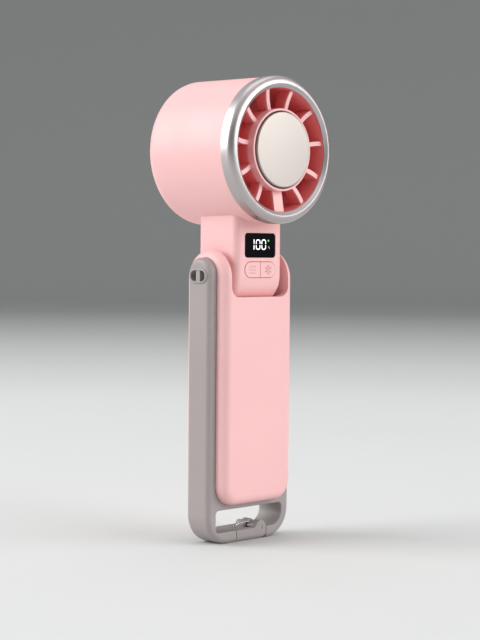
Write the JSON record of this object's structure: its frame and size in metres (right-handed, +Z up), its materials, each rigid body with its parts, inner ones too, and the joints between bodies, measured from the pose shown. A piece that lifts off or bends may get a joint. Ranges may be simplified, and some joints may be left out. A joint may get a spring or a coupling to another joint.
{
  "type": "folding handheld fan",
  "caption": "Folding handheld turbo fan with a vaned outlet, cooling plate, display, two push buttons and a handle that ends in a sprung snap hook.",
  "frame": {"origin": "middle of the foot of the handle", "axes": "+Z up the handle, -Y the way the air blows, X across the handle along the fold axis"},
  "size_m": [0.0624, 0.0524, 0.1981],
  "materials": {
    "pink_shell": "satin moulded plastic, pink",
    "pink_inner": "moulded plastic, pink",
    "pink_button": "satin moulded plastic, pink, engraved",
    "grey_frame": "satin moulded plastic, warm grey",
    "silver_ring": "satin silver",
    "cold_plate": "fine bead-blasted, anodised",
    "heat_sink": "plain",
    "steel": "plain",
    "bush": "acetal",
    "ceramic": "ceramic plates",
    "windings": "enamelled copper wire",
    "magnet": "bonded magnet",
    "lead": "insulated wires in a sleeve",
    "black_gloss": "black gloss window",
    "board": "circuit board",
    "switch": "tactile switch",
    "cell": "sleeved cell"
  },
  "bodies": {
    "handle": {"front_cover": "pink_shell", "rear_cover": "pink_shell", "cover_screws": "steel", "side_frame": "grey_frame", "gate_pin": "steel", "battery_left": "cell", "battery_right": "cell", "cell_strips": "steel", "charge_board": "board", "charge_socket": "steel", "hinge_pin_left": "steel", "hinge_pin_right": "steel", "hinge_washer_left": "steel", "hinge_washer_right": "steel"},
    "head": {"head_housing": "pink_shell", "trim_ring": "silver_ring", "vane_ring": "pink_inner", "cold_plate": "cold_plate", "cooling_module": "ceramic", "heat_sink": "heat_sink", "motor_lead": "lead", "motor_mount": "heat_sink", "motor_bearings": "steel", "motor_stator": "windings", "intake_grille": "pink_shell", "display_window": "black_gloss", "display_board": "board", "control_board": "board", "switches": "switch", "hinge_bush_left": "bush", "hinge_bush_right": "bush"},
    "impeller": {"impeller": "pink_inner", "rotor_bell": "steel", "rotor_magnet": "magnet", "motor_shaft": "steel"},
    "gate": {"gate": "grey_frame", "gate_spring": "steel"},
    "wind_button": {"wind_button": "pink_button"},
    "cooling_button": {"cooling_button": "pink_button"}
  },
  "joints": [
    {"name": "neck_fold", "type": "hinge", "parent": "handle", "child": "head", "pos_m": [0, 0, 0.11385], "axis": [1, 0, 0], "range_deg": [-90, 45]},
    {"name": "impeller_spin", "type": "hinge", "parent": "head", "child": "impeller", "pos_m": [0, 0, 0.1669], "axis": [0, -1, 0], "continuous": true},
    {"name": "gate_swing", "type": "hinge", "parent": "handle", "child": "gate", "pos_m": [0.0072, 0, 0.0049], "axis": [0, 1, 0], "range_deg": [0, 25], "stiffness_Nm_per_rad": 0.03, "springref_deg": -17.19},
    {"name": "wind_press", "type": "slide", "parent": "head", "child": "wind_button", "axis": [0, 1, 0], "range_m": [0, 0.0005], "stiffness_N_per_m": 1500, "springref_m": -0.0003},
    {"name": "cooling_press", "type": "slide", "parent": "head", "child": "cooling_button", "axis": [0, 1, 0], "range_m": [0, 0.0005], "stiffness_N_per_m": 1500, "springref_m": -0.0003}
  ]
}
